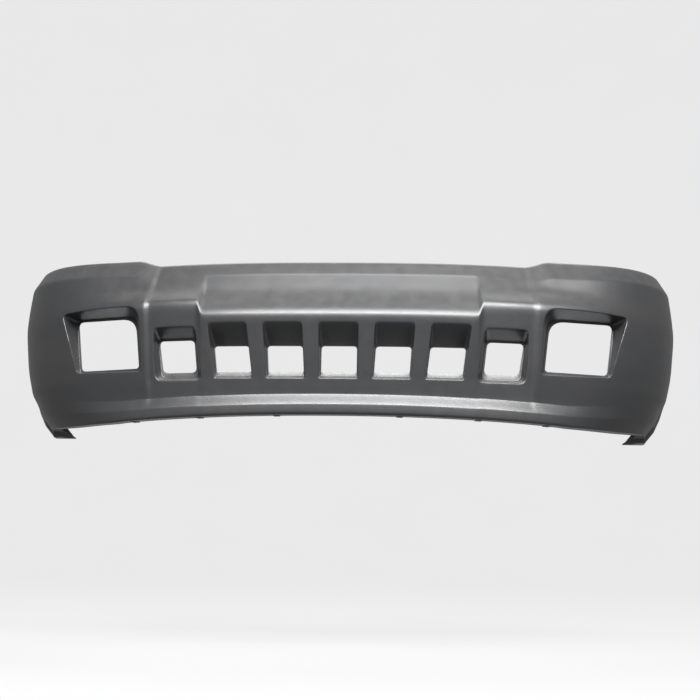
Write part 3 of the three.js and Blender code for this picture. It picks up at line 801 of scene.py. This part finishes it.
class Nodes:
    """A material's node tree, with short ways to add nodes and links."""

    def __init__(self, name):
        self.material = bpy.data.materials.new(name)
        self.material.use_nodes = True
        self.tree = self.material.node_tree
        self.shader = self.tree.nodes["Principled BSDF"]
        self.place = self.tree.nodes.new("ShaderNodeTexCoord").outputs["Object"]

    def node(self, kind, inputs=None, **settings):
        made = self.tree.nodes.new(kind)
        for key, value in settings.items():
            setattr(made, key, value)
        for key, value in (inputs or {}).items():
            if isinstance(value, bpy.types.NodeSocket):
                self.tree.links.new(value, made.inputs[key])
            else:
                made.inputs[key].default_value = value
        return made

    def noise(self, per_metre, detail=3, roughness=0.5, stretch=(1, 1, 1)):
        scaled = self.node("ShaderNodeMapping", {"Vector": self.place, "Scale": stretch})
        inputs = {
            "Vector": scaled.outputs["Vector"],
            "Scale": per_metre,
            "Detail": detail,
            "Roughness": roughness,
        }
        return self.node("ShaderNodeTexNoise", inputs).outputs["Fac"]

    def ramp(self, value, low, high, start, end):
        inputs = {"Value": value, 1: low, 2: high, 3: start, 4: end}
        return self.node("ShaderNodeMapRange", inputs).outputs["Result"]

    def mix(self, share, first, second):
        inputs = {0: share, 6: first, 7: second}
        return self.node("ShaderNodeMix", inputs, data_type="RGBA").outputs[2]

    def bump(self, height, strength, distance, below=None):
        inputs = {"Height": height, "Strength": strength, "Distance": distance}
        if below is not None:
            inputs["Normal"] = below
        return self.node("ShaderNodeBump", inputs).outputs["Normal"]

    def maths(self, operation, first, second):
        return self.node("ShaderNodeMath", {0: first, 1: second}, operation=operation).outputs[0]

    def set(self, **inputs):
        for key, value in inputs.items():
            socket = self.shader.inputs[key.replace("_", " ")]
            if isinstance(value, bpy.types.NodeSocket):
                self.tree.links.new(value, socket)
            else:
                socket.default_value = value
        return self.material


def edge_wear(nodes, low, high):
    """1 on edges that stick out and 0 elsewhere, broken up by noise."""
    pointiness = nodes.node("ShaderNodeNewGeometry").outputs["Pointiness"]
    edges = nodes.ramp(pointiness, low, high, 0, 1)
    broken = nodes.ramp(nodes.noise(60, 4, 0.6), 0.42, 0.62, 0, 1)
    return nodes.maths("MULTIPLY", edges, broken)


def fascia_plastic():
    """Satin charcoal thermoplastic: fine grain, a slight ripple, faint flow marks and dust."""
    nodes = Nodes("fascia_plastic_satin")
    flow = nodes.noise(7, 4, 0.55, stretch=(0.35, 1, 1))
    blotch = nodes.noise(38, 3)
    grain = nodes.noise(1500, 2)
    streak = nodes.ramp(flow, 0.35, 0.68, 0, 1)
    base = nodes.mix(streak, (0.013, 0.014, 0.0155, 1), (0.018, 0.018, 0.019, 1))
    speckled = nodes.mix(nodes.ramp(grain, 0.35, 0.7, 0, 0.35), base, (0.032, 0.031, 0.031, 1))
    normal = nodes.node("ShaderNodeNewGeometry").outputs["Normal"]
    upward = nodes.node("ShaderNodeSeparateXYZ", {0: normal})
    dust = nodes.ramp(upward.outputs["Z"], 0.35, 0.95, 0, 0.22)
    dusty = nodes.mix(nodes.maths("MULTIPLY", dust, blotch), speckled, (0.30, 0.285, 0.26, 1))
    wear = nodes.maths("MULTIPLY", edge_wear(nodes, 0.53, 0.6), 0.25)
    colour = nodes.mix(wear, dusty, (0.16, 0.16, 0.16, 1))
    rough = nodes.ramp(blotch, 0.3, 0.7, 0.34, 0.39)
    rough = nodes.maths("ADD", rough, nodes.ramp(grain, 0.3, 0.7, -0.03, 0.04))
    ripple = nodes.bump(nodes.noise(26, 2, 0.4), 0.16, 0.0012)
    surface = nodes.bump(grain, 0.32, 0.00016, ripple)
    return nodes.set(
        Base_Color=colour,
        Roughness=rough,
        Normal=surface,
        Specular_IOR_Level=0.62,
        IOR=1.49,
    )


def bracket_plastic():
    """Black moulded plastic, rougher than the cover, with a coarse spark-eroded grain."""
    nodes = Nodes("bracket_plastic_grained")
    cloud = nodes.noise(55, 4)
    grain = nodes.noise(1900, 3, 0.6)
    shade = nodes.ramp(cloud, 0.3, 0.7, 0, 1)
    colour = nodes.mix(shade, (0.014, 0.014, 0.015, 1), (0.028, 0.028, 0.029, 1))
    wear = nodes.maths("MULTIPLY", edge_wear(nodes, 0.54, 0.62), 0.5)
    worn = nodes.mix(wear, colour, (0.10, 0.10, 0.10, 1))
    return nodes.set(
        Base_Color=worn,
        Roughness=nodes.ramp(grain, 0.3, 0.7, 0.5, 0.66),
        Normal=nodes.bump(grain, 0.4, 0.00012),
        Specular_IOR_Level=0.45,
    )


def zinc_steel():
    """Bright zinc plating: a pale metal with spangle, drawn marks and a little dulling."""
    nodes = Nodes("zinc_steel_plated")
    spangle = nodes.node("ShaderNodeTexVoronoi", {"Vector": nodes.place, "Scale": 420.0})
    streaks = nodes.noise(700, 3, 0.6, stretch=(0.06, 1, 1))
    dull = nodes.noise(45, 5, 0.6)
    bright = nodes.mix(spangle.outputs["Color"], (0.56, 0.55, 0.50, 1), (0.68, 0.68, 0.65, 1))
    colour = nodes.mix(nodes.ramp(dull, 0.45, 0.72, 0, 0.6), bright, (0.36, 0.35, 0.31, 1))
    dulled = nodes.ramp(dull, 0.35, 0.7, 0.26, 0.44)
    rough = nodes.maths("ADD", dulled, nodes.ramp(streaks, 0.3, 0.7, 0, 0.08))
    return nodes.set(
        Base_Color=colour,
        Metallic=1.0,
        Roughness=rough,
        Normal=nodes.bump(streaks, 0.2, 0.00008),
    )


def spring_steel():
    """Phosphated spring steel: near black, crystalline, with paler rubbed edges."""
    nodes = Nodes("spring_steel_phosphated")
    crystals = nodes.noise(2600, 3, 0.65)
    patches = nodes.noise(90, 4, 0.6)
    shade = nodes.ramp(patches, 0.3, 0.7, 0, 1)
    colour = nodes.mix(shade, (0.030, 0.029, 0.028, 1), (0.055, 0.053, 0.050, 1))
    rubbed = nodes.mix(edge_wear(nodes, 0.54, 0.63), colour, (0.16, 0.155, 0.15, 1))
    return nodes.set(
        Base_Color=rubbed,
        Metallic=0.85,
        Roughness=nodes.ramp(crystals, 0.3, 0.7, 0.42, 0.62),
        Normal=nodes.bump(crystals, 0.3, 0.00008),
    )


# ---------------------------------------------------------------- stage, light and camera

CAMERA = {
    "turn": 2.84,
    "below": 11.44,
    "roll": 0.97,
    "distance": 2.56,
    "lens": 52.26,
    "target": (0.022, 0.060, -0.2062),
}
FLOOR_BELOW = 0.55  # the cover hangs this far above the floor, as on a stand
FACE_MIDDLE = (0, 0, -0.15)
SOFTBOXES = {
    "key_softbox": {
        "centre": (0.3, -2.5, 1.6),
        "target": FACE_MIDDLE,
        "size": (3.6, 1.3),
        "power": 460.0,
    },
    "top_softbox": {
        "centre": (0.0, 0.55, 2.3),
        "target": (0, 0, 0),
        "size": (3.0, 1.2),
        "power": 58.0,
    },
    "floor_bounce": {
        "centre": (0.2, 1.3, -1.5),
        "target": FACE_MIDDLE,
        "size": (3.4, 1.0),
        "power": 14.0,
    },
}
WORLD_STRENGTH = 0.34
STAGE_GLOW = 0.78


def pale_stage(floor_height):
    """A round floor that curves up into a wall, as one smooth sheet."""
    nodes = Nodes("studio_paper")
    tone = nodes.noise(1.5, 2)
    shade = nodes.ramp(tone, 0.3, 0.7, 0, 1)
    colour = nodes.mix(shade, (0.05, 0.05, 0.05, 1), (0.06, 0.06, 0.06, 1))
    material = nodes.set(Base_Color=colour, Roughness=0.9, Specular_IOR_Level=0.1)
    nodes.set(Emission_Color=(1, 1, 1, 1), Emission_Strength=STAGE_GLOW)
    radius = 9.0
    curve = 3.0
    curve_steps = 16
    height = 16.0
    sides = 96
    centre_disc = 0.5
    profile = [(centre_disc, floor_height), (radius - curve, floor_height)]
    for step in range(1, curve_steps + 1):
        angle = math.pi / 2 * step / curve_steps
        out = radius - curve + curve * math.sin(angle)
        profile.append((out, floor_height + curve * (1 - math.cos(angle))))
    profile.append((radius, floor_height + height))
    turns = [2 * math.pi * side / sides for side in range(sides + 1)]
    pool = MeshPool()
    rings = np.array([[(r * math.cos(t), r * math.sin(t), z) for r, z in profile] for t in turns])
    pool.grid(rings)
    pool.polygon(rings[:-1, 0])
    sheet = pool.build("studio_sheet")
    shade_by_angle(sheet, 60)
    sheet.data.materials.append(material)
    sheet.visible_diffuse = False
    sheet.visible_glossy = False


def softbox(name, centre, target, size, power):
    light = bpy.data.lights.new(name, "AREA")
    light.shape = "RECTANGLE"
    light.size, light.size_y = size
    light.energy = power
    lamp = bpy.data.objects.new(name, light)
    lamp.location = centre
    lamp.visible_camera = False
    lamp.rotation_euler = (Vector(target) - Vector(centre)).to_track_quat("-Z", "Y").to_euler()
    bpy.context.scene.collection.objects.link(lamp)


def soft_light():
    for name, settings in SOFTBOXES.items():
        softbox(name, **settings)
    world = bpy.data.worlds.new("studio_air")
    world.use_nodes = True
    world.node_tree.nodes["Background"].inputs["Color"].default_value = (1, 1, 1, 1)
    world.node_tree.nodes["Background"].inputs["Strength"].default_value = WORLD_STRENGTH
    bpy.context.scene.world = world
    bpy.context.scene.view_settings.view_transform = "Standard"


def photo_camera():
    """The camera looks up at the cover from a little below, and is turned slightly to its right."""
    turn, below, roll = (math.radians(CAMERA[key]) for key in ("turn", "below", "roll"))
    level = math.cos(below)
    away = Vector((math.sin(turn) * level, -math.cos(turn) * level, -math.sin(below)))
    right = (-away).cross(Vector((0, 0, 1))).normalized()
    up = right.cross(-away)
    image_right = math.cos(roll) * right + math.sin(roll) * up
    image_up = -math.sin(roll) * right + math.cos(roll) * up
    data = bpy.data.cameras.new("photo_camera")
    data.sensor_width = 36
    data.lens = CAMERA["lens"]
    data.clip_end = 100
    camera = bpy.data.objects.new("photo_camera", data)
    pose = Matrix((image_right, image_up, away)).transposed().to_4x4()
    pose.translation = Vector(CAMERA["target"]) + away * CAMERA["distance"]
    camera.matrix_world = pose
    bpy.context.scene.collection.objects.link(camera)
    bpy.context.scene.camera = camera


# ---------------------------------------------------------------- the assembly

skin = fascia_skin()
skin.data.materials.append(fascia_plastic())
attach(skin, "root")
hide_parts("fascia_skin")

finishes = {
    "bracket_plastic": bracket_plastic(),
    "zinc_steel": zinc_steel(),
    "spring_steel": spring_steel(),
}
for part in frame["record"]["subparts"]:
    if part["node"] != "fascia_skin":
        node = frame["nodes"][part["node"]]
        node.data.materials.clear()
        node.data.materials.append(finishes[part["material_slot"]])

photo_camera()
pale_stage(CAD_BOX[0][2] - FLOOR_BELOW)
soft_light()
